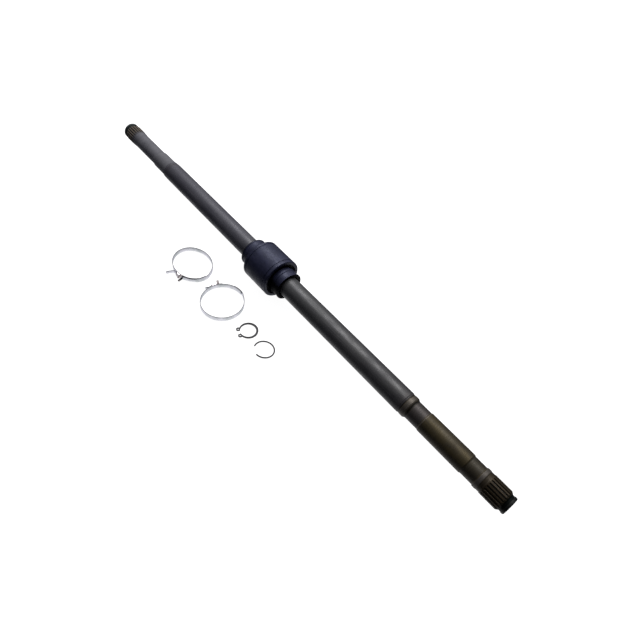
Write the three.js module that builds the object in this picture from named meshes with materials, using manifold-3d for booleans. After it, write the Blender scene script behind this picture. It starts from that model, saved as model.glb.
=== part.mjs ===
// Half-shaft bar with rubber dynamic damper, and its loose fitting kit:
// two band clamps, one snap ring and one wire circlip.
// Millimetres, +Z up. The bar lies along X, the outboard (wheel) end at -X and the
// inboard (gearbox) end at +X. Z = 0 is the surface the damper drum and the kit rest on.

import * as THREE from 'three';
import { mergeVertices } from 'three/addons/utils/BufferGeometryUtils.js';
import Module from 'manifold-3d';

const wasm = await Module();
wasm.setup();

// ---------------------------------------------------------------- dimensions
const HALF_LENGTH = 424.5;        // bar, end face to middle
const DRUM_R = 30.35;             // circumscribed radius of the faceted drum
const DRUM_SEGMENTS = 32;
const AXIS_Z = DRUM_R * Math.cos(Math.PI / DRUM_SEGMENTS);   // bar axis above the surface
const AXIS_Y = 42.699;            // bar axis in Y, so that the whole lies centred on the origin

const TEETH = 21;                 // splines, both ends
const TUBE_R = 15.25;
const TUBE_BORE_R = 11.25;
const TUBE_X0 = -279.55;          // friction-weld faces of the tube
const TUBE_X1 = 267.15;
const WELD_GAP = 0.3;
const STUB_BORE_R = 9;
const CENTRE_R = 3.6;             // centre-drilled cone in both end faces
const CENTRE_DEPTH = 6.2;

const OUT_ROOT_R = 12.45;         // outboard spline
const OUT_MAJOR_R = 13.95;
const IN_ROOT_R = 12.4;           // inboard spline
const IN_MAJOR_R = 13.82;

const DAMPER_X = -7.0;            // damper centre
const DAMPER_HALF = 42.8;
const DRUM_HALF = 25.0;
const COLLAR_R = 21.4;
const SEAT_R = 20.6;
const RUBBER_BORE_R = 15.7;
const RELIEF_R = 17.6;
const RECESS_X = 19.6;
const RECESS_R0 = 20.1;
const RECESS_R1 = 24.6;
const CAVITY_HALF = 16.8;
const CAVITY_R0 = 20.75;
const CAVITY_R1 = 28.65;
const RING_HALF = 16.4;
const RING_R0 = 21.3;
const RING_R1 = 28.15;
const PIN_HOLES = 6;
const PIN_HOLE_R = 1.25;
const PIN_CIRCLE_R = 22.4;

const BAND_T = 0.7;               // clamp strip
const BAND_W = 7.0;
const STRAP_Z0 = 0.9;             // narrow part of the strip that runs through the buckle
const STRAP_Z1 = 6.1;
const CLAMP_A = { x: -99.05, y: -74.4, a: 33.9, b: 27.8, turn: 174, buckle: -79, hand: -1, tail: 72, free: 11.5 };
const CLAMP_B = { x: -12.05, y: -79.4, a: 31.6, b: 30.6, turn: 141, buckle: 172, hand: 1, tail: 45, free: 4.0 };
const TONGUE = 46;                // inner end of the strip, behind the bridge
const BRIDGE_U0 = -5.7;           // along the strip, tail side positive
const BRIDGE_U1 = 0.9;
const BASE_U0 = -10.3;
const EAR_U0 = -9.9;
const EAR_U1 = -6.5;
const LAYER_BASE = [0.65, 1.05];
const LAYER_STRAP = 1.7;
const LAYER_TOP = [2.35, 2.85];
const EAR_TOP = 4.9;
const TAB_AXIS = 5.25;
const TAB_FROM = 5.45;
const TAB_TO = 8.0;
const SHEET_T = 0.6;
const EXIT_U = 5.2;
const TAIL_ARM = 1.1;             // tail strip below its fold axis

const SNAP = { x: 48.55, y: -78.0, inner: 11.0, outer: 13.45, shift: 0.55, t: 1.2, gap: 250, lug: 24.0, lugR: 2.9, lugAt: 13.6, hole: 1.2 };
const CIRCLIP = { x: 87.0, y: -79.1, a: 14.1, b: 13.0, turn: 12, from: 272.5, to: 570, wire: 1.0 };

// ---------------------------------------------------------------- helpers
const rad = THREE.MathUtils.degToRad;

function clean(geometry) {
  let g = geometry.clone();
  for (const name of Object.keys(g.attributes)) if (name !== 'position') g.deleteAttribute(name);
  g = mergeVertices(g, 1e-4);
  const index = g.index.array, kept = [];
  for (let i = 0; i < index.length; i += 3) {
    const [a, b, c] = [index[i], index[i + 1], index[i + 2]];
    if (a !== b && b !== c && a !== c) kept.push(a, b, c);
  }
  g.setIndex(kept);
  return volume(g) < 0 ? flip(g) : g;
}

function volume(g) {
  const p = g.attributes.position, index = g.index.array;
  const a = new THREE.Vector3(), b = new THREE.Vector3(), c = new THREE.Vector3();
  let sum = 0;
  for (let i = 0; i < index.length; i += 3) {
    a.fromBufferAttribute(p, index[i]);
    b.fromBufferAttribute(p, index[i + 1]);
    c.fromBufferAttribute(p, index[i + 2]);
    sum += a.dot(b.cross(c));
  }
  return sum / 6;
}

function flip(g) {
  const index = Array.from(g.index.array);
  for (let i = 0; i < index.length; i += 3) [index[i + 1], index[i + 2]] = [index[i + 2], index[i + 1]];
  g.setIndex(index);
  return g;
}

function solid(geometry) {
  const g = clean(geometry);
  return new wasm.Manifold(new wasm.Mesh({
    numProp: 3,
    vertProperties: new Float32Array(g.attributes.position.array),
    triVerts: new Uint32Array(g.index.array),
  }));
}

function geometryOf(manifold) {
  const m = manifold.getMesh();
  const g = new THREE.BufferGeometry();
  g.setAttribute('position', new THREE.BufferAttribute(new Float32Array(m.vertProperties), 3));
  g.setIndex(Array.from(m.triVerts));
  return g;
}

// A turned body about X through the origin. Profile points are [x, r].
function turned(profile, segments, phase = 0) {
  const points = profile.map(([x, r]) => new THREE.Vector2(r, x));
  const g = new THREE.LatheGeometry(points, segments, phase, Math.PI * 2);
  g.rotateZ(-Math.PI / 2);
  return g;
}

// A closed turned ring about X: the profile closes on itself.
function turnedRing(profile, segments, phase = 0) {
  return turned([...profile, profile[0]], segments, phase);
}

// A turned body whose every third longitude dips to a spline root.
function splined(profile, rootAt) {
  const segments = TEETH * 3;
  const g = turned(profile, segments);
  const p = g.attributes.position;
  const rows = profile.length;
  for (let i = 0; i < p.count; i++) {
    if (Math.floor(i / rows) % 3 !== 0) continue;
    const r = Math.hypot(p.getY(i), p.getZ(i));
    const root = rootAt(p.getX(i), r);
    if (root < r) p.setXYZ(i, p.getX(i), p.getY(i) * root / r, p.getZ(i) * root / r);
  }
  return g;
}

function extruded(points, z0, z1, holes = []) {
  const shape = new THREE.Shape(points.map(([x, y]) => new THREE.Vector2(x, y)));
  for (const hole of holes) shape.holes.push(new THREE.Path(hole.map(([x, y]) => new THREE.Vector2(x, y))));
  const g = new THREE.ExtrudeGeometry(shape, { depth: z1 - z0, bevelEnabled: false, steps: 1 });
  g.translate(0, 0, z0);
  return g;
}

function circle(cx, cy, r, n, from = 0) {
  return Array.from({ length: n }, (_, i) => {
    const t = from + i * 2 * Math.PI / n;
    return [cx + r * Math.cos(t), cy + r * Math.sin(t)];
  });
}

const object = new THREE.Group();
object.userData.pivots = {};

function add(name, geometry, color, roughness, metalness, x = 0, y = 0, z = 0) {
  const material = new THREE.MeshStandardMaterial({ color, roughness, metalness });
  const mesh = new THREE.Mesh(clean(geometry), material);
  mesh.name = name;
  mesh.position.set(x, y, z);
  object.add(mesh);
  return mesh;
}

// ---------------------------------------------------------------- the bar
const onAxis = [0, AXIS_Y, AXIS_Z];

add('tube', turnedRing([
  [TUBE_X0, TUBE_BORE_R], [TUBE_X0, 15.0], [TUBE_X0 + 1.2, TUBE_R],
  [TUBE_X1 - 1.6, TUBE_R], [TUBE_X1 - 1.0, 14.8], [TUBE_X1, 14.75], [TUBE_X1, TUBE_BORE_R],
], 48), 0x2b2a30, 0.55, 0.6, ...onAxis);

// Outboard stub: nose lip, circlip groove, splines that run out, neck, boot seat, taper.
add('outboard_stub', splined([
  [-HALF_LENGTH + CENTRE_DEPTH, 0], [-HALF_LENGTH, CENTRE_R], [-HALF_LENGTH, 11.9],
  [-422.8, 13.4], [-418.8, 13.4], [-418.6, 12.0], [-415.6, 12.0], [-415.4, 13.1],
  [-414.2, OUT_MAJOR_R], [-400.0, 13.9], [-391.0, 13.5], [-383.5, 12.8],
  [-323.5, 12.8], [-318.5, 13.9], [-290.5, 13.9], [-286.0, 14.75],
  [-282.0, 15.05], [TUBE_X0 - WELD_GAP, 15.05],
  [TUBE_X0 - WELD_GAP, STUB_BORE_R], [TUBE_X0 - WELD_GAP - 21, STUB_BORE_R],
  [TUBE_X0 - WELD_GAP - 26, 0],
], (x, r) => {
  if (x < -415.5 || x > -386 || r < 12.5) return r;
  if (x < -399.9) return OUT_ROOT_R;
  return THREE.MathUtils.lerp(OUT_ROOT_R, 12.95, (x + 400) / 9);
}), 0x3a3938, 0.5, 0.75, ...onAxis);

// Inboard stub: weld ring, neck, long land, neck, stop ring, relief, splines, groove, nose.
add('inboard_stub', splined([
  [TUBE_X1 + WELD_GAP + 26, 0], [TUBE_X1 + WELD_GAP + 21, STUB_BORE_R],
  [TUBE_X1 + WELD_GAP, STUB_BORE_R], [TUBE_X1 + WELD_GAP, 14.75], [268.8, 14.75],
  [269.4, 14.95], [274.6, 14.95], [277.6, 13.1], [297.0, 13.1], [298.2, 13.8],
  [363.0, 13.8], [364.8, 12.9], [381.2, 12.9], [382.8, 13.8], [386.6, 13.8],
  [387.9, 13.35], [391.4, 13.35], [392.5, IN_MAJOR_R], [415.3, IN_MAJOR_R],
  [418.0, 11.75], [418.3, 11.45], [420.6, 11.45], [420.9, 11.95], [423.6, 11.95],
  [HALF_LENGTH, 11.05], [HALF_LENGTH, CENTRE_R], [HALF_LENGTH - CENTRE_DEPTH, 0],
], (x, r) => (x > 392 && x < 416 && r > 13 ? IN_ROOT_R : r)), 0x403d38, 0.5, 0.75, ...onAxis);

// ---------------------------------------------------------------- the damper
const phase = Math.PI / DRUM_SEGMENTS;      // a flat of the drum faces down
const half = [
  [DAMPER_HALF, 18.3], [DAMPER_HALF, 20.8], [42.2, COLLAR_R + 0.05], [40.9, COLLAR_R + 0.05], [40.3, SEAT_R],
  [32.6, SEAT_R], [31.9, COLLAR_R], [28.4, COLLAR_R], [27.3, RECESS_R0 + 0.4], [RECESS_X, RECESS_R0],
  [RECESS_X, RECESS_R1], [DRUM_HALF, 25.6], [DRUM_HALF, 29.2], [24.0, DRUM_R],
];
const mirror = half.map(([x, r]) => [-x, r]).reverse();
let rubber = solid(turnedRing([
  ...half, ...mirror,
  [-40.7, RUBBER_BORE_R], [-22, RUBBER_BORE_R], [-20, RELIEF_R],
  [20, RELIEF_R], [22, RUBBER_BORE_R], [40.7, RUBBER_BORE_R],
], DRUM_SEGMENTS, phase));
rubber = rubber.subtract(solid(turnedRing([
  [-CAVITY_HALF, CAVITY_R0], [-CAVITY_HALF, CAVITY_R1], [CAVITY_HALF, CAVITY_R1], [CAVITY_HALF, CAVITY_R0],
], DRUM_SEGMENTS, phase)));
// Holes left by the mould's locating pins, from each end recess to the mass ring.
for (let i = 0; i < PIN_HOLES; i++) {
  const t = rad(15 + i * 360 / PIN_HOLES);
  for (const side of [-1, 1]) {
    const pin = new THREE.CylinderGeometry(PIN_HOLE_R, PIN_HOLE_R, 4.4, 8);
    pin.rotateZ(Math.PI / 2);
    pin.translate(side * 18.2, PIN_CIRCLE_R * Math.cos(t), PIN_CIRCLE_R * Math.sin(t));
    rubber = rubber.subtract(solid(pin));
  }
}
add('damper_rubber', geometryOf(rubber), 0x1b1b24, 0.6, 0.0, DAMPER_X, AXIS_Y, AXIS_Z);

add('damper_mass_ring', turnedRing([
  [-RING_HALF, RING_R0], [-RING_HALF, RING_R1 - 0.8], [-RING_HALF + 0.8, RING_R1],
  [RING_HALF - 0.8, RING_R1], [RING_HALF, RING_R1 - 0.8], [RING_HALF, RING_R0],
], DRUM_SEGMENTS, phase), 0x6b6a68, 0.5, 0.9, DAMPER_X, AXIS_Y, AXIS_Z);

// ---------------------------------------------------------------- band clamps
function bandClamp(name, c) {
  const turn = rad(c.turn);
  const at = (t) => {
    const q = t - turn;
    const r = c.a * c.b / Math.hypot(c.b * Math.cos(q), c.a * Math.sin(q));
    return new THREE.Vector2(r * Math.cos(t), r * Math.sin(t));
  };
  // Distance along the strip's centreline from the bridge, towards the tail.
  const step = rad(0.25), table = [[0, 0]];
  let u = 0;
  for (let i = 0; i < 2 * 1440; i++) {
    u += at(i * step * c.hand + rad(c.buckle)).distanceTo(at((i + 1) * step * c.hand + rad(c.buckle)));
    table.push([u, (i + 1) * step]);
  }
  const perimeter = table[1440][0];
  const angleAt = (v) => {
    let turns = 0;
    while (v < 0) { v += perimeter; turns -= 1; }
    let i = 1;
    while (table[i][0] < v && i < table.length - 1) i++;
    const [u0, t0] = table[i - 1], [u1, t1] = table[i];
    const t = t0 + (t1 - t0) * (v - u0) / (u1 - u0);
    return rad(c.buckle) + c.hand * (t + turns * 2 * Math.PI);
  };
  const frameAt = (v) => {
    const t = angleAt(v), e = rad(0.05) * c.hand;
    const p = at(t), T = at(t + e).sub(at(t - e)).normalize();
    let N = new THREE.Vector2(T.y, -T.x);
    if (N.dot(p) < 0) N.negate();
    return { p, T, N };
  };
  const point = (v, off) => {
    const { p, N } = frameAt(v);
    return [p.x + N.x * off, p.y + N.y * off];
  };
  const strip = (v0, v1, inner, outer, z0, z1, pitch = 3) => {
    const n = Math.max(2, Math.ceil((v1 - v0) / pitch));
    const offIn = typeof inner === 'function' ? inner : () => inner;
    const offOut = typeof outer === 'function' ? outer : () => outer;
    const pts = [];
    for (let i = 0; i <= n; i++) { const v = v0 + (v1 - v0) * i / n; pts.push(point(v, offOut(v))); }
    for (let i = n; i >= 0; i--) { const v = v0 + (v1 - v0) * i / n; pts.push(point(v, offIn(v))); }
    return solid(extruded(pts, z0, z1));
  };
  const layer = (v) => {
    const over = perimeter - TONGUE;
    const ramp = (a, b, x) => THREE.MathUtils.clamp((x - a) / (b - a), 0, 1);
    return 1.0 * ramp(over - 10, over - 1.5, v) + 0.7 * ramp(perimeter - 15.4, perimeter - 12.0, v);
  };
  const inner = (v) => layer(v) - BAND_T / 2, outer = (v) => layer(v) + BAND_T / 2;

  const wide = strip(-TONGUE, perimeter - 30, inner, outer, 0, BAND_W);
  const narrow = strip(perimeter - 31, perimeter + EXIT_U, inner, outer, STRAP_Z0, STRAP_Z1, 1.6);
  const steel = [0xc9c9d2, 0.25, 1.0];
  add(`${name}_band`, geometryOf(wide.add(narrow)), ...steel, c.x, c.y + AXIS_Y, 0);

  // Buckle: base on the inner layer, box bridge over the strap, two ears behind the bridge.
  const wall = (v0, v1, top, z0) => strip(v0, v1, LAYER_BASE[0], top, z0, z0 + SHEET_T, 1.7);
  let buckle = strip(BASE_U0, BRIDGE_U1, LAYER_BASE[0], LAYER_BASE[1], 0, BAND_W, 1.7);
  for (const z0 of [0, BAND_W - SHEET_T]) {
    buckle = buckle.add(wall(BRIDGE_U0, BRIDGE_U1, LAYER_TOP[1], z0));
    buckle = buckle.add(wall(EAR_U0, EAR_U1, EAR_TOP, z0));
  }
  buckle = buckle.add(strip(BRIDGE_U0, BRIDGE_U1, LAYER_TOP[0], LAYER_TOP[1], 0, BAND_W, 1.7));
  add(`${name}_buckle`, geometryOf(buckle), 0x9a9aa2, 0.35, 1.0, c.x, c.y + AXIS_Y, 0);

  // Lock tabs: the upper ends of the two ears, which fold across the folded tail.
  const mid = frameAt((EAR_U0 + EAR_U1) / 2);
  for (const [which, z0] of [['lower', 0], ['upper', BAND_W - SHEET_T]]) {
    const w = EAR_U1 - EAR_U0;
    const corner = (du, off) => [
      mid.p.x + mid.T.x * du + mid.N.x * off,
      mid.p.y + mid.T.y * du + mid.N.y * off,
    ];
    const tab = extruded([
      corner(-w / 2, TAB_FROM), corner(w / 2, TAB_FROM), corner(w / 2, TAB_TO - 0.9),
      corner(w / 2 - 0.9, TAB_TO), corner(-w / 2 + 0.9, TAB_TO), corner(-w / 2, TAB_TO - 0.9),
    ], z0, z0 + SHEET_T);
    add(`${name}_lock_tab_${which}`, tab, 0x9a9aa2, 0.35, 1.0, c.x, c.y + AXIS_Y, 0);
    const s = which === 'lower' ? 1 : -1;
    object.userData.pivots[`${name}_lock_tab_${which}`] = {
      pos: [c.x + mid.p.x + mid.N.x * TAB_AXIS, c.y + AXIS_Y + mid.p.y + mid.N.y * TAB_AXIS, z0 + SHEET_T / 2],
      axis: [s * mid.N.y, -s * mid.N.x, 0],
    };
  }

  // Tail: the free end of the strap, which folds back over the bridge.
  const exit = frameAt(EXIT_U);
  const e = new THREE.Vector2(...point(EXIT_U, LAYER_STRAP));
  const axis = e.clone().addScaledVector(exit.T, 0.9).addScaledVector(exit.N, TAIL_ARM);
  const a = rad(c.tail);
  const d = exit.T.clone().multiplyScalar(Math.cos(a)).addScaledVector(exit.N, Math.sin(a));
  const n = exit.N.clone().multiplyScalar(Math.cos(a)).addScaledVector(exit.T, -Math.sin(a));
  const at2 = (l, w) => {
    return [
      axis.x + d.x * l + n.x * (w - TAIL_ARM),
      axis.y + d.y * l + n.y * (w - TAIL_ARM),
    ];
  };
  const ls = [-0.7, c.free];
  const outline = [...ls.map((l) => at2(l, BAND_T / 2)), ...ls.slice().reverse().map((l) => at2(l, -BAND_T / 2))];
  let tail = solid(extruded(outline, STRAP_Z0, STRAP_Z1));
  for (const z of [STRAP_Z0, STRAP_Z1]) {       // clipped corners at the tip
    const cutter = new THREE.BoxGeometry(2.4, 4, 2.4);
    cutter.rotateY(Math.PI / 4);
    cutter.rotateZ(Math.atan2(d.y, d.x));
    const tip = at2(c.free, 0);
    cutter.translate(tip[0], tip[1], z);
    tail = tail.subtract(solid(cutter));
  }
  add(`${name}_tail`, geometryOf(tail), ...steel, c.x, c.y + AXIS_Y, 0);
  const side = exit.T.x * exit.N.y - exit.T.y * exit.N.x;
  object.userData.pivots[`${name}_tail`] = {
    pos: [c.x + axis.x, c.y + AXIS_Y + axis.y, BAND_W / 2],
    axis: [0, 0, Math.sign(side)],
  };
}

bandClamp('clamp_a', CLAMP_A);
bandClamp('clamp_b', CLAMP_B);

// ---------------------------------------------------------------- snap ring
{
  const s = SNAP, gap = rad(s.gap), back = gap + Math.PI;
  const ox = s.shift * Math.cos(back), oy = s.shift * Math.sin(back);
  let ring = solid(extruded(circle(ox, oy, s.outer, 48), 0, s.t, [circle(0, 0, s.inner, 48).reverse()]));
  const lugs = [-1, 1].map((k) => {
    const t = gap + k * rad(s.lug);
    return [s.lugAt * Math.cos(t), s.lugAt * Math.sin(t)];
  });
  for (const [x, y] of lugs) ring = ring.add(solid(extruded(circle(x, y, s.lugR, 20), 0, s.t)));
  const mouth = [[0, 0]];
  for (const k of [-1, 1]) {
    const t = gap + k * rad(s.lug - 11);
    mouth.push([30 * Math.cos(t), 30 * Math.sin(t)]);
  }
  ring = ring.subtract(solid(extruded(mouth, -1, s.t + 1)));
  ring = ring.subtract(solid(extruded(circle(0, 0, s.inner, 48), -1, s.t + 1)));
  for (const [x, y] of lugs) ring = ring.subtract(solid(extruded(circle(x, y, s.hole, 10), -1, s.t + 1)));
  add('snap_ring', geometryOf(ring), 0x26262a, 0.45, 0.8, s.x, s.y + AXIS_Y, 0);
}

// ---------------------------------------------------------------- wire circlip
{
  const c = CIRCLIP, turn = rad(c.turn), points = [];
  for (let i = 0; i <= 40; i++) {
    const t = rad(c.from + (c.to - c.from) * i / 40), q = t - turn;
    const r = c.a * c.b / Math.hypot(c.b * Math.cos(q), c.a * Math.sin(q));
    points.push(new THREE.Vector3(r * Math.cos(t), r * Math.sin(t), 0));
  }
  const section = new THREE.Shape(circle(0, 0, c.wire, 8, Math.PI / 8).map(([x, y]) => new THREE.Vector2(x, y)));
  const wire = new THREE.ExtrudeGeometry(section, {
    steps: 48, bevelEnabled: false, extrudePath: new THREE.CatmullRomCurve3(points),
  });
  add('wire_circlip', wire, 0x2a2a2c, 0.4, 0.8, c.x, c.y + AXIS_Y, c.wire * Math.cos(Math.PI / 8));
}

export default object;
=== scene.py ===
import math

import bmesh
import bpy
import numpy as np
from mathutils import Matrix, Vector


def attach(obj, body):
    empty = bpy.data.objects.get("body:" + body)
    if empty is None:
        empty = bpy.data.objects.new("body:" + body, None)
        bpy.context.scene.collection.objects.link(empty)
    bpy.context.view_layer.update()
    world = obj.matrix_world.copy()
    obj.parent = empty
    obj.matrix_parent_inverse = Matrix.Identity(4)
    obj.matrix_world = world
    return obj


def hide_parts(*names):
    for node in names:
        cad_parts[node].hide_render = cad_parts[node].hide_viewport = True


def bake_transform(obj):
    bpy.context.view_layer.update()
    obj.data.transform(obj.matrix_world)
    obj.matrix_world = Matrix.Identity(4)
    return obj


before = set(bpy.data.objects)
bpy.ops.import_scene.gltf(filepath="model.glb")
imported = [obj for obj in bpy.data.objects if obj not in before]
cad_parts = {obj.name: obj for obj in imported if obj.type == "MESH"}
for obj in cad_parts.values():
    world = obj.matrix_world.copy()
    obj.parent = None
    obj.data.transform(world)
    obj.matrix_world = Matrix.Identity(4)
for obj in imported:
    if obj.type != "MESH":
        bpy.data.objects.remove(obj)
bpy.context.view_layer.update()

# ------------------------------------------------------------------ dimensions, mm
AY = 42.699
AZ = 30.35 * math.cos(math.pi / 32)
TEETH = 21
DX = -7.0                      # damper centre


# ------------------------------------------------------------------ node materials
class Mat:
    """A small builder for a Principled material."""

    def __init__(self, name, metallic=0.0, roughness=0.5, specular=0.5):
        self.m = bpy.data.materials.new(name)
        self.m.use_nodes = True
        self.t = self.m.node_tree
        self.b = self.t.nodes["Principled BSDF"]
        self.b.inputs["Metallic"].default_value = metallic
        self.b.inputs["Roughness"].default_value = roughness
        self.b.inputs["Specular IOR Level"].default_value = specular
        self.pos = self.new("ShaderNodeTexCoord").outputs["Object"]
        self.bump = None

    def new(self, kind, **props):
        n = self.t.nodes.new(kind)
        for k, v in props.items():
            setattr(n, k, v)
        return n

    def put(self, socket, value):
        if isinstance(value, bpy.types.NodeSocket):
            self.t.links.new(value, socket)
        else:
            if socket.type == "RGBA" and len(value) == 3:
                value = (*value, 1.0)
            socket.default_value = value

    def math(self, op, a, b=0.0, c=0.0, clamp=False):
        n = self.new("ShaderNodeMath", operation=op, use_clamp=clamp)
        for s, v in zip(n.inputs, (a, b, c)):
            self.put(s, v)
        return n.outputs[0]

    def scaled(self, scale, vector=None, shift=(0, 0, 0)):
        n = self.new("ShaderNodeMapping")
        self.put(n.inputs["Vector"], vector or self.pos)
        n.inputs["Scale"].default_value = scale if hasattr(scale, "__len__") else (scale,) * 3
        n.inputs["Location"].default_value = shift
        return n.outputs[0]

    def noise(self, scale, detail=4.0, rough=0.55, distortion=0.0, shift=(0, 0, 0), vector=None):
        n = self.new("ShaderNodeTexNoise")
        self.put(n.inputs["Vector"], self.scaled(scale, vector, shift))
        n.inputs["Scale"].default_value = 1.0
        n.inputs["Detail"].default_value = detail
        n.inputs["Roughness"].default_value = rough
        n.inputs["Distortion"].default_value = distortion
        return n.outputs[0]

    def voronoi(self, scale, feature="F1", vector=None):
        n = self.new("ShaderNodeTexVoronoi", feature=feature)
        self.put(n.inputs["Vector"], self.scaled(scale, vector))
        n.inputs["Scale"].default_value = 1.0
        return n.outputs["Distance"]

    def ramp(self, fac, *stops, kind="LINEAR"):
        n = self.new("ShaderNodeValToRGB")
        n.color_ramp.interpolation = kind
        e = n.color_ramp.elements
        while len(e) < len(stops):
            e.new(0.5)
        for el, (p, c) in zip(e, stops):
            el.position = p
            c = (c, c, c) if isinstance(c, (int, float)) else c
            el.color = (*c, 1.0)
        self.put(n.inputs[0], fac)
        return n.outputs[0]

    def span(self, value, a, b, lo=0.0, hi=1.0, smooth=True):
        n = self.new("ShaderNodeMapRange", interpolation_type="SMOOTHSTEP" if smooth else "LINEAR")
        for s, v in zip((n.inputs["Value"], n.inputs["From Min"], n.inputs["From Max"], n.inputs["To Min"], n.inputs["To Max"]), (value, a, b, lo, hi)):
            self.put(s, v)
        return n.outputs[0]

    def mix(self, fac, a, b, blend="MIX"):
        n = self.new("ShaderNodeMix", data_type="RGBA", blend_type=blend)
        ins = [s for s in n.inputs if s.enabled]
        self.put(ins[0], fac)
        self.put([s for s in ins if s.name == "A"][0], a)
        self.put([s for s in ins if s.name == "B"][0], b)
        return [s for s in n.outputs if s.enabled][0]

    def xyz(self):
        n = self.new("ShaderNodeSeparateXYZ")
        self.put(n.inputs[0], self.pos)
        return n.outputs

    def radius(self):
        """Distance from the bar's axis, metres."""
        x, y, z = self.xyz()
        dy = self.math("SUBTRACT", y, AY / 1000)
        dz = self.math("SUBTRACT", z, AZ / 1000)
        return self.math("SQRT", self.math("ADD", self.math("MULTIPLY", dy, dy), self.math("MULTIPLY", dz, dz)))

    def color(self, v):
        self.put(self.b.inputs["Base Color"], v)
        return self

    def rough(self, v):
        self.put(self.b.inputs["Roughness"], v)
        return self

    def near(self, spots, r0, r1):
        """1 within r0 metres of the upright line through any of the spots, 0 beyond r1."""
        out = None
        ragged = self.math("MULTIPLY_ADD", self.noise(520, 4, 0.6), 0.0010, -0.0005)
        for x, y in spots:
            n = self.new("ShaderNodeVectorMath", operation="DISTANCE")
            flat = self.new("ShaderNodeVectorMath", operation="MULTIPLY")
            self.put(flat.inputs[0], self.pos)
            flat.inputs[1].default_value = (1, 1, 0)
            self.put(n.inputs[0], flat.outputs[0])
            n.inputs[1].default_value = (x, y, 0)
            m = self.span(self.math("ADD", n.outputs["Value"], ragged), r0, r1, 1.0, 0.0)
            out = m if out is None else self.math("MAXIMUM", out, m)
        return out

    def relief(self, height, strength=0.3, distance=0.0002):
        n = self.new("ShaderNodeBump")
        n.inputs["Strength"].default_value = strength
        n.inputs["Distance"].default_value = distance
        self.put(n.inputs["Height"], height)
        if self.bump is not None:
            self.t.links.new(self.bump, n.inputs["Normal"])
        self.bump = n.outputs[0]
        self.t.links.new(self.bump, self.b.inputs["Normal"])
        return self


def tube_material():
    k = Mat("tube_satin_coat", metallic=0.35, roughness=0.5, specular=0.4)
    x = k.xyz()[0]
    tone = k.ramp(k.span(x, -0.29, 0.27, smooth=False),
                  (0.0, (0.032, 0.031, 0.040)), (0.38, (0.036, 0.036, 0.045)), (0.5, (0.030, 0.031, 0.034)),
                  (0.58, (0.029, 0.030, 0.031)), (1.0, (0.020, 0.0195, 0.0205)))
    cloud = k.noise((26, 60, 60), 5, 0.6)
    long_streak = k.noise((9, 420, 420), 3, 0.6)
    c = k.mix(k.span(cloud, 0.35, 0.7, 0.0, 0.55), tone, k.mix(1.0, tone, (0.62, 0.62, 0.72), "MULTIPLY"))
    c = k.mix(k.span(long_streak, 0.55, 0.75, 0.0, 0.3), c, (0.085, 0.082, 0.095))
    speck = k.noise(1500, 2, 0.5)
    c = k.mix(k.span(speck, 0.62, 0.72, 0.0, 0.35), c, (0.12, 0.12, 0.125))
    # burnt coat beside the two friction welds
    edge = k.math("MINIMUM", k.math("ABSOLUTE", k.math("ADD", x, 0.2797)), k.math("ABSOLUTE", k.math("SUBTRACT", x, 0.2673)))
    c = k.mix(k.span(edge, 0.0, 0.010, 0.45, 0.0), c, (0.026, 0.022, 0.023))
    k.color(c)
    k.rough(k.span(k.noise((60, 160, 160), 4), 0.3, 0.7, 0.40, 0.58))
    k.relief(k.noise(520, 3, 0.6), 0.18, 0.00012)
    k.relief(k.noise((14, 900, 900), 3, 0.6), 0.12, 0.00008)
    return k.m


def turned_steel(name, light, dark, metallic, rough, tint=None, marks=0.35):
    k = Mat(name, metallic=metallic, roughness=rough[0])
    rings = k.noise((2600, 18, 18), 3, 0.7)
    broad = k.noise((42, 30, 30), 4, 0.6, shift=(3, 1, 2))
    c = k.mix(k.span(broad, 0.35, 0.68), light, dark)
    c = k.mix(k.span(rings, 0.4, 0.75, 0.0, 0.45), c, k.mix(1.0, c, (1.6, 1.6, 1.65), "MULTIPLY"))
    if tint:
        oil = k.noise((26, 110, 110), 4, 0.62, 0.6, shift=(7, 3, 5))
        c = k.mix(k.span(oil, 0.42, 0.66, 0.0, 0.8), c, tint)
    return k, c, rings


def outboard_material():
    k, c, rings = turned_steel("outboard_turned_steel", (0.061, 0.061, 0.070), (0.044, 0.044, 0.052), 0.2, (0.5, 0.66))
    k.b.inputs["Specular IOR Level"].default_value = 0.3
    x = k.xyz()[0]
    r = k.radius()
    # cleaner boot seat, coat of the tube lapped over the weld, oiled splines with painted shade in their spaces
    c = k.mix(k.math("MULTIPLY", k.span(x, -0.3205, -0.3175), k.span(x, -0.2865, -0.2840, 0.5, 0.0)), c, (0.068, 0.068, 0.076))
    c = k.mix(k.span(k.math("MULTIPLY_ADD", k.noise(240, 3), 0.002, x), -0.2835, -0.2815), c, (0.033, 0.032, 0.040))
    in_spline = k.math("MULTIPLY", k.span(x, -0.4165, -0.4145), k.span(x, -0.396, -0.388, 1.0, 0.0))
    c = k.mix(k.math("MULTIPLY", in_spline, 0.75), c, (0.020, 0.018, 0.018))
    # painted shade: the spline spaces are painted near black towards their roots
    painted_root_shade = k.span(r, 0.0127, 0.0137, 1.0, 0.0)
    c = k.mix(k.math("MULTIPLY", in_spline, painted_root_shade), c, (0.006, 0.006, 0.007))
    c = k.mix(k.math("MULTIPLY", in_spline, k.span(r, 0.0135, 0.0139, 0.0, 0.75)), c, (0.080, 0.060, 0.040))
    c = k.mix(k.span(x, -0.4150, -0.4138, 1.0, 0.0), c, (0.006, 0.010, 0.010))
    k.color(c)
    k.rough(k.span(rings, 0.3, 0.7, 0.56, 0.72))
    k.relief(rings, 0.25, 0.00006)
    k.relief(k.noise(900, 3), 0.12, 0.00008)
    return k.m


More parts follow.
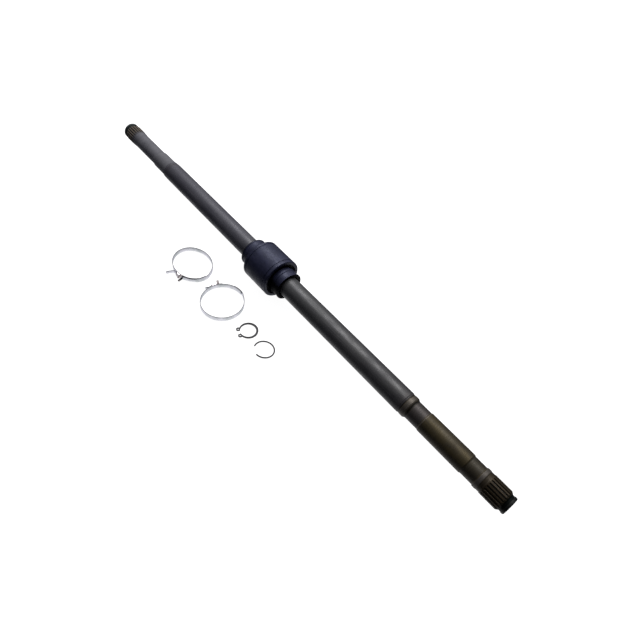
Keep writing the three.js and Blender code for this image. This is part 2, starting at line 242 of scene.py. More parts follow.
def inboard_material():
    k, c, rings = turned_steel("inboard_turned_steel", (0.0258, 0.0208, 0.0122), (0.0155, 0.0119, 0.0062), 0.6, (0.42, 0.6), tint=(0.0300, 0.0225, 0.0085))
    k.b.inputs["Specular IOR Level"].default_value = 0.3
    x = k.xyz()[0]
    r = k.radius()
    ring = k.math("MULTIPLY", k.span(x, 0.3818, 0.3828), k.span(x, 0.3868, 0.3878, 1.0, 0.0))
    c = k.mix(ring, c, (0.044, 0.039, 0.034))
    shoulder = k.math("MULTIPLY", k.span(x, 0.3868, 0.3878), k.span(x, 0.3924, 0.3934, 1.0, 0.0))
    c = k.mix(k.math("MULTIPLY", shoulder, 0.7), c, (0.0120, 0.0078, 0.0034))
    neck = k.math("MULTIPLY", k.span(x, 0.3636, 0.3648), k.span(x, 0.3806, 0.3816, 1.0, 0.0))
    c = k.mix(k.math("MULTIPLY", neck, 0.6), c, (0.016, 0.0145, 0.0115))
    in_spline = k.math("MULTIPLY", k.span(x, 0.3924, 0.3934), k.span(x, 0.4150, 0.4172, 1.0, 0.0))
    # painted shade: the spline spaces are painted near black towards their roots
    painted_root_shade = k.span(r, 0.0125, 0.0136, 1.0, 0.0)
    c = k.mix(k.math("MULTIPLY", in_spline, painted_root_shade), c, (0.0015, 0.001, 0.0006))
    c = k.mix(k.math("MULTIPLY", in_spline, k.span(r, 0.01345, 0.0138, 0.0, 0.75)), c, (0.029, 0.0180, 0.0068))
    c = k.mix(k.math("MULTIPLY", in_spline, 0.5), c, (0.0052, 0.0034, 0.0011))
    c = k.mix(k.span(x, 0.4162, 0.4175), c, (0.0022, 0.0030, 0.0029))
    groove = k.math("MULTIPLY", k.span(x, 0.4155, 0.4170), k.span(x, 0.4205, 0.4211, 1.0, 0.0))
    k.put(k.b.inputs["Specular IOR Level"], k.math("MULTIPLY_ADD", groove, -0.26, 0.3))
    waist = k.math("MULTIPLY", k.span(x, 0.2786, 0.2796), k.span(x, 0.2962, 0.2970, 1.0, 0.0))
    c = k.mix(k.math("MULTIPLY", waist, 0.8), c, (0.0275, 0.0245, 0.0255))
    # painted highlight: a light line along the edge of the step
    painted_step_highlight = k.math("MULTIPLY", k.span(x, 0.2972, 0.2978), k.span(x, 0.2984, 0.2992, 1.0, 0.0))
    c = k.mix(k.math("MULTIPLY", painted_step_highlight, 0.6), c, (0.060, 0.053, 0.048))
    upset = k.math("MULTIPLY", k.span(x, 0.2688, 0.2697), k.span(x, 0.2752, 0.2762, 1.0, 0.0))
    c = k.mix(upset, c, (0.046, 0.040, 0.033))
    under = k.math("MULTIPLY", k.span(x, 0.2762, 0.2770), k.span(x, 0.2782, 0.2792, 1.0, 0.0))
    c = k.mix(under, c, (0.0030, 0.0024, 0.0018))
    weld = k.span(x, 0.2680, 0.2690, 1.0, 0.0)
    c = k.mix(weld, c, (0.006, 0.005, 0.005))
    k.color(c)
    k.rough(k.span(rings, 0.3, 0.7, 0.42, 0.6))
    k.relief(rings, 0.3, 0.00006)
    k.relief(k.noise(700, 3), 0.12, 0.00008)
    return k.m


def rubber_material():
    k = Mat("damper_rubber_satin", roughness=0.45, specular=0.30)
    x = k.xyz()[0]
    r = k.radius()
    bloom = k.noise((70, 120, 120), 5, 0.62)
    c = k.mix(k.span(bloom, 0.38, 0.68), (0.0028, 0.0034, 0.0112), (0.0070, 0.0077, 0.0205))
    dust = k.noise(1100, 3, 0.6)
    c = k.mix(k.span(dust, 0.6, 0.72, 0.0, 0.3), c, (0.035, 0.034, 0.05))
    along = k.math("SUBTRACT", x, DX / 1000)
    xd = k.math("ABSOLUTE", along)
    # painted shade: the floor of the end recesses and the end faces of the collars are painted black
    painted_recess_shade = k.math("MULTIPLY", k.span(xd, 0.0238, 0.0254, 1.0, 0.0), k.span(r, 0.0238, 0.0245, 1.0, 0.0))
    facing = k.new("ShaderNodeSeparateXYZ")
    k.put(facing.inputs[0], k.new("ShaderNodeTexCoord").outputs["Normal"])
    end = k.math("MULTIPLY", k.span(k.math("ABSOLUTE", facing.outputs[0]), 0.5, 0.8), k.span(xd, 0.0405, 0.0412))
    # painted shade: the lip of the collar towards the outboard end is painted black all over
    end = k.math("MAXIMUM", end, k.span(along, -0.0420, -0.0412, 1.0, 0.0))
    # painted shade on the underside of the collar towards the inboard end
    _, y, z = k.xyz()
    under = k.math("ADD", k.math("MULTIPLY", k.math("SUBTRACT", y, AY / 1000), -0.681), k.math("MULTIPLY", k.math("SUBTRACT", z, AZ / 1000), -0.733))
    under = k.math("ADD", k.math("DIVIDE", under, r), k.math("MULTIPLY_ADD", k.noise((120, 160, 160), 4, 0.6), 0.5, -0.25))
    painted_underside_shade = k.math("MULTIPLY", k.span(under, -0.05, 0.35), k.math("MULTIPLY", k.span(along, 0.017, 0.020), k.span(r, 0.0225, 0.0245, 1.0, 0.0)))
    # the three masks together are painted shade: near black colour and little specular
    dark = k.math("MAXIMUM", k.math("MAXIMUM", painted_recess_shade, end), painted_underside_shade)
    k.put(k.b.inputs["Specular IOR Level"], k.math("MULTIPLY_ADD", dark, -0.27, 0.30))
    c = k.mix(dark, c, (0.0013, 0.0012, 0.0010))
    k.color(c)
    k.rough(k.span(k.noise((90, 200, 200), 4), 0.3, 0.7, 0.42, 0.6))
    k.relief(k.noise((700, 900, 900), 4, 0.65), 0.28, 0.00012)
    k.relief(k.noise((2000, 40, 40), 2), 0.10, 0.00006)
    k.b.inputs["Specular Tint"].default_value = (0.68, 0.73, 1.0, 1.0)
    return k.m


def strip_material(name="stainless_strip", base=(0.74, 0.735, 0.78), dark=(0.50, 0.53, 0.53), rough=(0.2, 0.34)):
    k = Mat(name, metallic=0.95, roughness=0.26)
    rolled = k.noise((60, 60, 2600), 3, 0.6)
    patch = k.noise((60, 60, 45), 4, 0.55, shift=(2, 5, 1))
    c = k.mix(k.span(patch, 0.36, 0.66), base, dark)
    c = k.mix(k.span(rolled, 0.5, 0.72, 0.0, 0.35), c, k.mix(1.0, c, (0.62, 0.62, 0.66), "MULTIPLY"))
    # slit edges, rougher than the rolled faces and painted dark, which is painted shade
    up = k.new("ShaderNodeTexCoord").outputs["Normal"]
    flat = k.new("ShaderNodeSeparateXYZ")
    k.put(flat.inputs[0], up)
    edge_shade_and_roughness = k.span(k.math("ABSOLUTE", flat.outputs[2]), 0.35, 0.8)
    c = k.mix(edge_shade_and_roughness, c, (0.055, 0.055, 0.062))
    # painted shadow in the mouth of the buckle
    mouth = k.near(MOUTHS, 0.0009, 0.0016)
    c = k.mix(k.math("MULTIPLY", mouth, 0.93), c, (0.006, 0.005, 0.005))
    k.color(c)
    k.rough(k.mix(edge_shade_and_roughness, k.span(rolled, 0.3, 0.7, rough[0], rough[1]), (0.6, 0.6, 0.6)))
    k.b.inputs["Specular Tint"].default_value = (0.75, 0.75, 0.8, 1.0)
    k.relief(rolled, 0.22, 0.00003)
    k.relief(k.noise(260, 3), 0.08, 0.0002)
    return k.m


def buckle_material():
    k = Mat("pressed_buckle_steel", metallic=0.9, roughness=0.35)
    z = k.xyz()[2]
    smear = k.noise(420, 4, 0.62)
    c = k.mix(k.span(smear, 0.38, 0.66), (0.66, 0.62, 0.65), (0.40, 0.37, 0.38))
    # painted shadow in the mouth of the buckle
    mouth = k.near(MOUTHS, 0.0010, 0.0017)
    c = k.mix(k.math("MULTIPLY", mouth, 0.95), c, (0.006, 0.005, 0.005))
    k.color(c)
    k.rough(k.span(smear, 0.3, 0.7, 0.26, 0.5))
    k.relief(k.noise(1400, 3), 0.2, 0.00005)
    return k.m


def ear_material():
    k = Mat("folded_ear_steel", metallic=0.85, roughness=0.4)
    smear = k.noise(520, 4, 0.62)
    # painted shade: the ears are coloured far darker than the buckle's steel
    c = k.mix(k.span(smear, 0.38, 0.66), (0.060, 0.052, 0.052), (0.13, 0.12, 0.122))
    k.color(c)
    k.rough(k.span(smear, 0.3, 0.7, 0.3, 0.5))
    k.relief(k.noise(1400, 3), 0.2, 0.00005)
    return k.m


def ring_material(name, a, b):
    k = Mat(name, metallic=0.15, roughness=0.6, specular=0.15)
    grain = k.noise(1900, 4, 0.6)
    patch = k.noise(160, 3, 0.6)
    c = k.mix(k.span(patch, 0.36, 0.66), a, b)
    c = k.mix(k.span(grain, 0.58, 0.72, 0.0, 0.5), c, (0.045, 0.045, 0.047))
    k.color(c)
    k.rough(k.span(grain, 0.3, 0.7, 0.5, 0.7))
    k.relief(grain, 0.25, 0.00004)
    return k.m


def mass_material():
    k = Mat("mass_ring_turned_iron", metallic=0.7, roughness=0.5)
    rings = k.noise((2200, 20, 20), 3, 0.6)
    k.color(k.mix(k.span(rings, 0.35, 0.7), (0.10, 0.10, 0.10), (0.16, 0.155, 0.15)))
    k.rough(k.span(rings, 0.3, 0.7, 0.4, 0.6))
    k.relief(rings, 0.3, 0.00006)
    return k.m


# ------------------------------------------------------------------ mesh helpers
def make(name, verts, faces, mat, angle=38):
    """Object from vertices in millimetres."""
    me = bpy.data.meshes.new(name)
    me.from_pydata([tuple(c * 0.001 for c in v) for v in verts], [], [tuple(f) for f in faces])
    me.validate()
    bm = bmesh.new()
    bm.from_mesh(me)
    bmesh.ops.recalc_face_normals(bm, faces=bm.faces)
    bm.to_mesh(me)
    bm.free()
    ob = bpy.data.objects.new(name, me)
    bpy.context.scene.collection.objects.link(ob)
    smooth(ob, angle)
    if mat:
        me.materials.append(mat)
    return ob


def smooth(ob, angle=38):
    ob.data.shade_smooth()
    if angle < 180:
        ob.data.set_sharp_from_angle(angle=math.radians(angle))


def rounded(points, radii, closed=True, steps=4):
    """A 2D polyline with its corners turned into arcs."""
    if not hasattr(radii, "__len__"):
        radii = [radii] * len(points)
    out = []
    n = len(points)
    for i, p in enumerate(points):
        r = radii[i]
        p = np.array(p, float)
        if r <= 0 or (not closed and i in (0, n - 1)):
            out.append(tuple(p))
            continue
        a, b = np.array(points[i - 1], float), np.array(points[(i + 1) % n], float)
        u, w = a - p, b - p
        lu, lw = np.linalg.norm(u), np.linalg.norm(w)
        if lu < 1e-9 or lw < 1e-9:
            out.append(tuple(p))
            continue
        u, w = u / lu, w / lw
        cosang = float(np.clip(u @ w, -1, 1))
        if cosang < -0.9995:
            out.append(tuple(p))
            continue
        half = math.acos(cosang) / 2
        t = min(r / math.tan(half), 0.45 * lu, 0.45 * lw)
        for j in range(steps + 1):
            s = j / steps
            q = (1 - s) ** 2 * (p + u * t) + 2 * s * (1 - s) * p + s * s * (p + w * t)
            out.append(tuple(q))
    return out


def turned(name, profile, mat, angles, closed=False, shape=None, cx=0.0, angle=38):
    """A body turned about the bar's axis; profile points are (x, r); shape(x, r, theta index) bends the radius."""
    n = len(angles)
    verts, rows = [], []
    cos, sin = [math.cos(t) for t in angles], [math.sin(t) for t in angles]
    for x, r in profile:
        if r < 1e-6:
            rows.append([len(verts)])
            verts.append((x + cx, AY, AZ))
            continue
        row = []
        for j in range(n):
            q = shape(x, r, j) if shape else r
            row.append(len(verts))
            verts.append((x + cx, AY + q * cos[j], AZ + q * sin[j]))
        rows.append(row)
    faces = []
    pairs = list(zip(rows, rows[1:])) + ([(rows[-1], rows[0])] if closed else [])
    for a, b in pairs:
        for j in range(n):
            k = (j + 1) % n
            if len(a) == 1 and len(b) == 1:
                continue
            if len(a) == 1:
                faces.append((a[0], b[j], b[k]))
            elif len(b) == 1:
                faces.append((a[j], b[0], a[k]))
            else:
                faces.append((a[j], b[j], b[k], a[k]))
    return make(name, verts, faces, mat, angle)


def dense(profile, x0, x1, step):
    """Adds stations between x0 and x1."""
    out = [profile[0]]
    for a, b in zip(profile, profile[1:]):
        lo, hi = min(a[0], b[0]), max(a[0], b[0])
        if hi > x0 and lo < x1 and hi - lo > step:
            k = int(math.ceil((hi - lo) / step))
            out += [(a[0] + (b[0] - a[0]) * i / k, a[1] + (b[1] - a[1]) * i / k) for i in range(1, k)]
        out.append(b)
    return out


def applied(ob):
    """The object's mesh with its modifiers applied."""
    dg = bpy.context.evaluated_depsgraph_get()
    dg.update()
    me = bpy.data.meshes.new_from_object(ob.evaluated_get(dg))
    old = ob.data
    ob.modifiers.clear()
    ob.data = me
    bpy.data.meshes.remove(old)
    return ob


def boolean(ob, tool, op="DIFFERENCE"):
    m = ob.modifiers.new("cut", "BOOLEAN")
    m.operation = op
    m.object = tool
    m.solver = "EXACT"
    applied(ob)
    bpy.data.objects.remove(tool)
    return ob


def bevel(ob, width, segments=2, angle=35):
    m = ob.modifiers.new("edge", "BEVEL")
    m.width = width * 0.001
    m.segments = segments
    m.limit_method = "ANGLE"
    m.angle_limit = math.radians(angle)
    m.harden_normals = False
    applied(ob)
    return ob


def place(ob, body, slot, *nodes):
    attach(ob, body)
    if nodes:
        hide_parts(*nodes)
    return ob


# ------------------------------------------------------------------ bar
M_TUBE = tube_material()
M_OUT = outboard_material()
M_IN = inboard_material()
M_RUBBER = rubber_material()
M_EAR = ear_material()
M_SNAP = ring_material("snap_ring_phosphate", (0.016, 0.016, 0.018), (0.030, 0.030, 0.033))
M_WIRE = ring_material("circlip_phosphate", (0.014, 0.014, 0.016), (0.028, 0.027, 0.030))

ROUND = [2 * math.pi * i / 160 for i in range(160)]

tube_profile = rounded([
    (-279.65, 11.25), (-279.65, 14.98), (-279.15, 15.08), (-277.0, 15.25), (265.3, 15.25),
    (266.2, 14.78), (267.25, 14.72), (267.25, 11.25),
], [0.2, 0.15, 0.6, 1.2, 0.5, 0.3, 0.15, 0.2])
tube_profile = dense(tube_profile + [tube_profile[0]], -279, 266, 30)[:-1]
tube = turned("tube_skin", tube_profile, M_TUBE, ROUND, closed=True)
place(tube, "shaft", "tube_paint", "tube")

PITCH = [-0.5, -0.42, -0.35, -0.31, -0.285, -0.245, -0.19, -0.145, -0.11, -0.06,
         0.0, 0.06, 0.11, 0.145, 0.19, 0.245, 0.285, 0.31, 0.35, 0.42]
GEAR = [(t + 0.5 + p) / TEETH * 2 * math.pi for t in range(TEETH) for p in PITCH]


def smoothstep(a, b, x):
    t = min(1.0, max(0.0, (x - a) / (b - a)))
    return t * t * (3 - 2 * t)


def groove(p):
    """0 on a tooth's land, 1 at the bottom of the space."""
    p = abs(p)
    if p > 0.30:
        return 0.0
    if p < 0.12:
        return 1.0
    t = (0.30 - p) / 0.18
    return t * (1.25 - 0.25 * t)


def out_shape(x, r, j):
    p = PITCH[j % len(PITCH)]
    g = groove(p)
    if g <= 0 or x < -415.45 or x > -384.5:
        return r
    # rolled spline: the spaces get shallow and narrow towards the neck
    run = smoothstep(-401.0, -385.0, x)
    root = 12.45 + 1.15 * run
    depth = max(0.0, 13.93 - root) * (1 - run) ** 0.7
    if abs(p) > 0.30 - 0.12 * run:
        g = 0.0
    return min(r, max(r - depth * g, 12.3))


def in_shape(x, r, j):
    p = PITCH[j % len(PITCH)]
    g = groove(p)
    if g <= 0 or x < 392.6 or x > 418.1:
        return r
    # cut spline: each space starts with a round end
    half = 0.30 * 2 * math.pi * 13.8 / TEETH
    d = abs(p) / 0.30 * half
    start = 393.3 + (half - math.sqrt(max(0.0, half * half - d * d))) * 1.3
    g *= smoothstep(start, start + 0.9, x)
    return r - max(0.0, r - 12.4) * g if r > 12.4 else r


out_profile = rounded([
    (-418.3, 0), (-424.5, 3.6), (-424.5, 12.0), (-423.3, 13.4), (-418.75, 13.4), (-418.65, 12.05),
    (-415.6, 12.05), (-415.42, 13.1), (-414.1, 13.95), (-400.0, 13.93), (-391.0, 13.5), (-383.5, 12.8),
    (-324.2, 12.8), (-318.3, 13.9), (-290.9, 13.9), (-286.0, 14.72), (-281.8, 15.03), (-279.85, 15.0), (-279.66, 14.85),
    (-279.66, 9.0), (-300.85, 9.0), (-305.85, 0),
], [0, 0.5, 0.5, 0.35, 0.25, 0.3, 0.3, 0.1, 0.5, 3, 5, 4, 4, 1.6, 4, 3, 2, 0.15, 0.1, 0.5, 0.5, 0], closed=False)
out_profile = dense(out_profile, -414.2, -383, 0.9)
outboard = turned("outboard_stub_skin", out_profile, M_OUT, GEAR, shape=out_shape, angle=32)
place(outboard, "shaft", "stub_steel_outboard", "outboard_stub")

in_profile = rounded([
    (293.45, 0), (288.45, 9.0), (267.26, 9.0), (267.26, 14.62), (268.9, 14.68), (269.5, 14.95), (274.5, 14.95),
    (277.4, 13.15), (296.8, 13.1), (298.3, 13.8), (362.9, 13.8), (364.8, 12.9), (381.1, 12.9), (382.7, 13.85),
    (386.6, 13.85), (387.8, 13.35), (391.3, 13.35), (392.5, 13.82), (415.2, 13.82), (418.0, 11.75),
    (418.2, 11.45), (420.7, 11.45), (420.85, 11.95), (423.5, 11.95), (424.5, 11.1), (424.5, 3.6), (418.3, 0),
], [0, 0.5, 0.5, 0.2, 0.3, 0.4, 0.5, 0.8, 0.9, 0.7, 0.7, 0.8, 0.8, 0.6, 0.5, 0.5, 0.5, 0.4, 0.4, 0.2, 0.2, 0.2, 0.15, 0.4, 0.3, 0.4, 0],
    closed=False)
in_profile = dense(in_profile, 392.6, 397.5, 0.3)
in_profile = dense(in_profile, 397.5, 418, 1.6)
inboard = turned("inboard_stub_skin", in_profile, M_IN, GEAR, shape=in_shape, angle=32)
place(inboard, "shaft", "stub_steel_inboard", "inboard_stub")

# ------------------------------------------------------------------ damper
half = [
    (42.8, 18.1), (42.8, 20.9), (42.3, 21.45), (40.9, 21.4), (40.2, 20.6), (32.8, 20.6), (31.9, 21.4), (28.3, 21.4),
    (27.2, 20.4), (19.6, 20.1), (19.6, 24.5), (25.0, 25.6), (25.0, 29.5), (24.2, 30.28), (20.6, 30.3), (20.1, 29.5), (19.1, 29.5), (18.6, 30.28),
]
half_r = [0.5, 0.5, 0.45, 0.5, 0.6, 0.6, 0.5, 0.6, 0.6, 0.8, 0.8, 0.5, 0.6, 0.8, 0.25, 0.3, 0.3, 0.25]
left = [(-x, r) for x, r in half][::-1]
left_r = half_r[::-1]
bore = [(-40.6, 15.62), (-22, 15.62), (-20, 17.5), (20, 17.5), (22, 15.62), (40.6, 15.62)]
rub_profile = rounded(half + [(6.0, 30.34), (-6.0, 30.34)] + left + bore, half_r + [3, 3] + left_r + [0.5] * 6, steps=4)
FINE = [2 * math.pi * i / 192 for i in range(192)]


def drum_shape(x, r, j):
    # the moulding is a touch uneven round its outside
    if r > 26 and abs(x) < 26:
        t = FINE[j]
        return r + 0.05 * math.sin(3 * t + 0.4) + 0.03 * math.sin(5 * t + x * 0.12)
    return r


rubber = turned("damper_rubber_skin", rub_profile, M_RUBBER, FINE, closed=True, shape=drum_shape, cx=DX, angle=42)
cavity = turned("cavity_tool", [(-16.8, 20.75), (-16.8, 28.6), (16.8, 28.6), (16.8, 20.75)], None, FINE, closed=True, cx=DX)
boolean(rubber, cavity)
pins = bmesh.new()
for i in range(6):
    t = math.radians(15 + i * 60)
    for side in (-1, 1):
        at = Vector((DX + side * 18.2, AY + 22.4 * math.cos(t), AZ + 22.4 * math.sin(t))) * 0.001
        bmesh.ops.create_cone(pins, cap_ends=True, segments=20, radius1=0.0013, radius2=0.0013, depth=0.0044,
                              matrix=Matrix.Translation(at) @ Matrix.Rotation(math.pi / 2, 4, "Y"))
pin_mesh = bpy.data.meshes.new("pins")
pins.to_mesh(pin_mesh)
pins.free()
pin_tool = bpy.data.objects.new("pins", pin_mesh)
bpy.context.scene.collection.objects.link(pin_tool)
boolean(rubber, pin_tool)
smooth(rubber, 42)
if not rubber.data.materials:
    rubber.data.materials.append(M_RUBBER)
place(rubber, "damper", "rubber", "damper_rubber")

ring_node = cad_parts["damper_mass_ring"]
mass = mass_material()
ring_node.data.materials.clear()
ring_node.data.materials.append(mass)


# ------------------------------------------------------------------ band clamps
BAND_T, BAND_W, Z0, Z1, TONGUE = 0.7, 7.0, 0.9, 6.1, 46.0
BR0, BR1, BASE0, EAR0, EAR1 = -5.7, 0.9, -10.3, -9.9, -6.5
STRAP, EXIT_U, ARM = 1.7, 5.2, 1.1


class Clamp:
    def __init__(self, name, x, y, a, b, turn, buckle, hand, tail, free):
        self.name, self.cx, self.cy, self.a, self.b = name, x, y + AY, a, b
        self.turn, self.b0, self.hand, self.tail = math.radians(turn), math.radians(buckle), hand, math.radians(tail)
        self.free = free
        step = math.radians(0.25)
        t = self.b0 + np.arange(1441) * step * hand
        p = np.stack(self.at(t), 1)
        self.us = np.concatenate([[0], np.cumsum(np.linalg.norm(np.diff(p, axis=0), axis=1))])
        self.ts = np.arange(1441) * step
        self.per = float(self.us[-1])

    def at(self, t):
        q = t - self.turn
        r = self.a * self.b / np.hypot(self.b * np.cos(q), self.a * np.sin(q))
        return r * np.cos(t), r * np.sin(t)

    def frame(self, v):
        k = math.floor(v / self.per)
        t = self.b0 + self.hand * (float(np.interp(v - k * self.per, self.us, self.ts)) + k * 2 * math.pi)
        e = math.radians(0.05) * self.hand
        p = np.array(self.at(t))
        T = np.array(self.at(t + e)) - np.array(self.at(t - e))
        T /= np.linalg.norm(T)
        N = np.array([T[1], -T[0]])
        if N @ p < 0:
            N = -N
        return p, T, N

    def point(self, v, w, z):
        p, T, N = self.frame(v)
        q = p + N * w
        return (q[0] + self.cx, q[1] + self.cy, z)

    def layer(self, v):
        over = self.per - TONGUE
        lin = lambda a, b: min(1.0, max(0.0, (v - a) / (b - a)))
        s = lambda t: t * t * (3 - 2 * t)
        return s(lin(over - 10, over - 1.5)) + 0.7 * s(lin(self.per - 15.4, self.per - 12.0))


def section(w0, w1, z0, z1, r, steps=3):
    return rounded([(w0, z0), (w1, z0), (w1, z1), (w0, z1)], r, steps=steps)


def sweep(name, rings, mat, angle=40, caps=True):
    """A closed tube of equal rings, capped."""
    n = len(rings[0])
    verts = [p for ring in rings for p in ring]
    faces = []
    for i in range(len(rings) - 1):
        for j in range(n):
            k = (j + 1) % n
            faces.append((i * n + j, i * n + k, (i + 1) * n + k, (i + 1) * n + j))
    if caps:
        faces.append(tuple(range(n)))
        faces.append(tuple((len(rings) - 1) * n + j for j in reversed(range(n))))
    return make(name, verts, faces, mat, angle)


def build_clamp(c):
    n = c.name
    # band: one strip, its end over its start, narrowed where it runs to the buckle
    rings = []
    v0, v1 = -TONGUE, c.per - 0.4
    count = 420
    for i in range(count + 1):
        v = v0 + (v1 - v0) * i / count
        s = smoothstep(c.per - 31.5, c.per - 29.5, v)
        w = c.layer(v)
        za, zb = Z0 * s, BAND_W + (Z1 - BAND_W) * s
        tip = 1.0
        if v - v0 < 1.2:                       # the inner end has clipped corners
            tip = 0.55 + 0.45 * (v - v0) / 1.2
        mid, h = (za + zb) / 2, (zb - za) / 2 * tip
        rings.append([c.point(v, w + a, z) for a, z in section(-BAND_T / 2, BAND_T / 2, mid - h, mid + h, 0.2)])
    band = sweep(f"{n}_band_skin", rings, M_STRIP)
    place(band, n, "clamp_steel", f"{n}_band")

    # buckle: base plate, and the sleeve the strap runs through
    base = [[c.point(v, a, z) for a, z in section(0.65, 1.05, 0.0, BAND_W, 0.12)] for v in np.linspace(BASE0, BR1 - 0.3, 24)]
    base = sweep(f"{n}_buckle_base", base, M_BUCKLE)
    outer = rounded([(0.66, 0.0), (2.95, 0.0), (2.95, BAND_W), (0.66, BAND_W)], [0.2, 0.75, 0.75, 0.2], steps=5)
    inner = rounded([(1.12, 0.55), (2.38, 0.55), (2.38, BAND_W - 0.55), (1.12, BAND_W - 0.55)], [0.1, 0.3, 0.3, 0.1], steps=5)
    m = len(outer)
    vs = list(np.linspace(BR0, BR1, 12))
    verts, faces = [], []
    loops = []
    for k, v in enumerate(vs):
        edge = 0.12 if k in (0, len(vs) - 1) else 0.0
        swell = 0.22 * math.sin(math.pi * k / (len(vs) - 1))
        def grow(loop, d):
            cw = sum(p[0] for p in loop) / len(loop)
            cz = sum(p[1] for p in loop) / len(loop)
            return [(a + (d if a > cw else -d) * 0.5 + (swell if a > 2.0 else 0), z + (d if z > cz else -d)) for a, z in loop]
        loops.append([[c.point(v, a, z) for a, z in grow(outer, -edge)], [c.point(v, a, z) for a, z in grow(inner, edge)]])
    for o, i in loops:
        verts += o + i
    step = 2 * m
    for k in range(len(vs) - 1):
        for j in range(m):
            q = (j + 1) % m
            a = k * step
            faces.append((a + j, a + q, a + step + q, a + step + j))
            faces.append((a + m + j, a + step + m + j, a + step + m + q, a + m + q))
    for a in (0, (len(vs) - 1) * step):
        for j in range(m):
            q = (j + 1) % m
            faces.append((a + j, a + m + j, a + m + q, a + q))
    sleeve = make(f"{n}_buckle_sleeve", verts, faces, M_BUCKLE, 40)
    place(base, n, "buckle_steel", f"{n}_buckle")
    place(sleeve, n, "buckle_steel")

    # ears with the lock tabs at their ends, one bent sheet each
    p, T, N = c.frame((EAR0 + EAR1) / 2)
    w = EAR1 - EAR0
    for which, z0 in (("lower", 0.0), ("upper", BAND_W - 0.6)):
        rings = []
        hs = [0.70, 0.85, 1.4, 2.4, 3.4, 4.4, 4.8, 5.0, 5.15, 5.25, 5.35, 5.5, 5.7, 6.2, 6.8, 7.2, 7.5, 7.75, 7.9, 7.98, 8.0]
        for h in hs:
            wide = w / 2
            if h > 6.9:
                wide = w / 2 - 1.1 + math.sqrt(max(0.0, 1.1 ** 2 - (h - 6.9) ** 2))
            if h < 1.5:
                wide += 0.5 * (1.5 - h) ** 2
            sec = rounded([(-wide, z0), (wide, z0), (wide, z0 + 0.6), (-wide, z0 + 0.6)], 0.14, steps=2)
            rings.append([(p[0] + T[0] * u + N[0] * h + c.cx, p[1] + T[1] * u + N[1] * h + c.cy, z) for u, z in sec])
        ear = sweep(f"{n}_ear_{which}", rings, M_EAR)
        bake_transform(ear)
        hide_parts(f"{n}_lock_tab_{which}")

    # tail: the strap's free end, bent up out of the sleeve
    pe, Te, Ne = c.frame(EXIT_U)
    e = np.array([pe[0], pe[1]]) + Ne * STRAP
    axis = e + Te * 0.9 + Ne * ARM
    d = Te * math.cos(c.tail) + Ne * math.sin(c.tail)
    nn = Ne * math.cos(c.tail) - Te * math.sin(c.tail)
    path = []                                  # centreline point, normal, half width
    for v in np.linspace(-1.0, EXIT_U, 11):
        q, t_, n_ = c.frame(v)
        path.append((q + n_ * STRAP, n_))
    bend = 14
    start_w = e + Te * 0.9
    path.append(((e + start_w) / 2, Ne))
    for k in range(bend + 1):
        f = c.tail * k / bend
        normal = Ne * math.cos(f) - Te * math.sin(f)
        path.append((axis - normal * ARM, normal))
    for l in np.linspace(0.5, c.free, 18):
        bow = 0.013 * c.free * math.sin(math.pi * l / c.free)
        path.append((axis + d * l - nn * (ARM + bow), nn))
    rings = []
    total = len(path)
    for k, (q, nrm) in enumerate(path):
        left_over = c.free - ((q - axis) @ d) if k > total - 19 else 99
        h = (Z1 - Z0) / 2
        if left_over < 1.7:
            h = h - 1.7 + math.sqrt(max(0.0, 1.7 ** 2 - (1.7 - left_over) ** 2))
        mid = (Z0 + Z1) / 2
        sec = section(-BAND_T / 2, BAND_T / 2, mid - h, mid + h, 0.2)
        rings.append([(q[0] + nrm[0] * a + c.cx, q[1] + nrm[1] * a + c.cy, z) for a, z in sec])
    tail = sweep(f"{n}_tail_skin", rings, M_STRIP)
    s = ((e[0] + c.cx) / 1000, (e[1] + c.cy) / 1000, 0.0035)
    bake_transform(tail)
    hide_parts(f"{n}_tail")


CLAMPS = [Clamp("clamp_a", -99.05, -74.4, 33.9, 27.8, 174, -79, -1, 72, 11.5),
          Clamp("clamp_b", -12.05, -79.4, 31.6, 30.6, 141, 172, 1, 45, 4.0)]
MOUTHS = [tuple(v / 1000 for v in c.point(BR1 - 0.1, 2.1, 0)[:2]) for c in CLAMPS]
M_STRIP, M_BUCKLE = strip_material(), buckle_material()
for one in CLAMPS:
    build_clamp(one)

# ------------------------------------------------------------------ snap ring
def disc(name, cx, cy, r, z0, z1, n):
    verts = [(cx + r * math.cos(2 * math.pi * i / n), cy + r * math.sin(2 * math.pi * i / n), z) for z in (z0, z1) for i in range(n)]
    faces = [tuple(range(n))[::-1], tuple(range(n, 2 * n))] + [(i, (i + 1) % n, n + (i + 1) % n, n + i) for i in range(n)]
    return make(name, verts, faces, None)


SX, SY, GAP = 48.55, -78.0 + AY, math.radians(250)
back = GAP + math.pi
snap = disc("snap_ring_skin", SX + 0.55 * math.cos(back), SY + 0.55 * math.sin(back), 13.45, 0.0, 1.2, 160)
lugs = [(SX + 13.6 * math.cos(GAP + k * math.radians(24.0)), SY + 13.6 * math.sin(GAP + k * math.radians(24.0))) for k in (-1, 1)]
for i, (x, y) in enumerate(lugs):
    boolean(snap, disc(f"lug{i}", x, y, 2.9, 0.0, 1.2, 40), "UNION")
mouth_pts = [(SX, SY)] + [(SX + 30 * math.cos(GAP + k * math.radians(13.0)), SY + 30 * math.sin(GAP + k * math.radians(13.0))) for k in (-1, 1)]
mouth = make("mouth", [(x, y, z) for z in (-1, 3) for x, y in mouth_pts], [(0, 2, 1), (3, 4, 5), (0, 1, 4, 3), (1, 2, 5, 4), (2, 0, 3, 5)], None)
boolean(snap, mouth)
boolean(snap, disc("inner", SX, SY, 11.0, -1, 3, 160))
for i, (x, y) in enumerate(lugs):
    boolean(snap, disc(f"hole{i}", x, y, 1.2, -1, 3, 28))
bevel(snap, 0.1, 2, 50)
snap.data.materials.clear()
snap.data.materials.append(M_SNAP)
smooth(snap, 40)
place(snap, "snap_ring", "ring_steel", "snap_ring")

